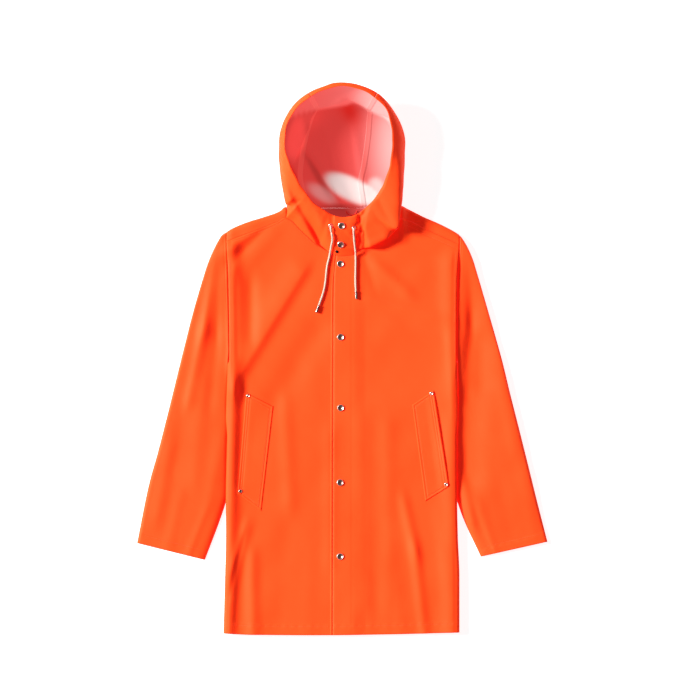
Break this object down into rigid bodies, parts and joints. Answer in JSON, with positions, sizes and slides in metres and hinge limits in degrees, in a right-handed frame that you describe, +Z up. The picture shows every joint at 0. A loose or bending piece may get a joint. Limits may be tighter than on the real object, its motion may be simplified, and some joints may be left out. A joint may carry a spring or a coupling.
{
  "type": "hooded raincoat",
  "caption": "Mid-thigh hooded raincoat laid flat on its back, with a snapped front, slanted welt pockets and an open hood with a drawcord.",
  "frame": {"origin": "on the surface that the coat lies on, under the middle of its whole outline", "axes": "+Z up from the surface, out of the coat's front; +Y from hem to hood; +X towards the wearer's left sleeve"},
  "size_m": [0.883, 1.1852, 0.095],
  "materials": {
    "shell_cloth": "matt rubberised cotton, orange outside and a pale pink cotton inside",
    "cord_cotton": "pale braided cotton",
    "snap_metal": "polished nickel",
    "dark_metal": "darkened metal"
  },
  "bodies": {
    "root": {"back": "shell_cloth", "front_right": "shell_cloth", "front_left": "shell_cloth", "sleeve_right": "shell_cloth", "sleeve_left": "shell_cloth", "hood_centre": "shell_cloth", "hood_right": "shell_cloth", "hood_left": "shell_cloth", "pocket_welt_right": "shell_cloth", "pocket_welt_left": "shell_cloth", "hanging_loop": "shell_cloth", "pocket_rivet_right_1": "snap_metal", "pocket_rivet_right_2": "snap_metal", "pocket_rivet_left_1": "snap_metal", "pocket_rivet_left_2": "snap_metal", "snap_1": "snap_metal", "snap_2": "snap_metal", "snap_3": "snap_metal", "snap_4": "snap_metal", "snap_5": "snap_metal", "snap_6": "snap_metal", "snap_7": "snap_metal", "neck_eyelet": "dark_metal", "cord_eyelet_right": "snap_metal", "cord_eyelet_left": "snap_metal", "drawcord_right": "cord_cotton", "drawcord_left": "cord_cotton", "cord_tip_right": "snap_metal", "cord_tip_left": "snap_metal"}
  },
  "joints": []
}
